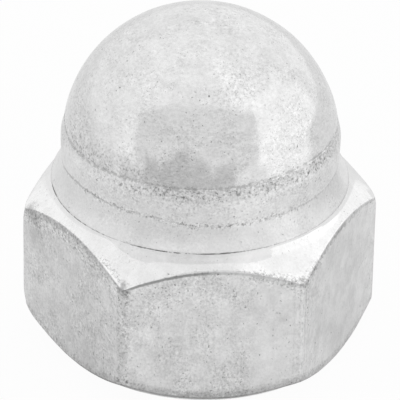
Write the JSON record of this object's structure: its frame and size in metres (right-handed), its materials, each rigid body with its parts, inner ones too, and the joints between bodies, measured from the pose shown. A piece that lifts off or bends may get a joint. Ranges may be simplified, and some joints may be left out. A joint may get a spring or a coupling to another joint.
{
  "type": "cap nut",
  "caption": "One-piece domed cap nut with a hexagon to turn it by, a turned neck, and a blind threaded hole under the dome.",
  "frame": {"origin": "middle of the bearing face, on the thread's axis", "axes": "+Z along the thread's axis and up through the dome, -Y square out of one flat of the hexagon"},
  "size_m": [0.0184, 0.016, 0.018],
  "materials": {
    "plated_steel": "satin plated steel, smooth where it is turned and finely pitted on the flats"
  },
  "bodies": {
    "root": {"cap_nut": "plated_steel"}
  },
  "joints": []
}
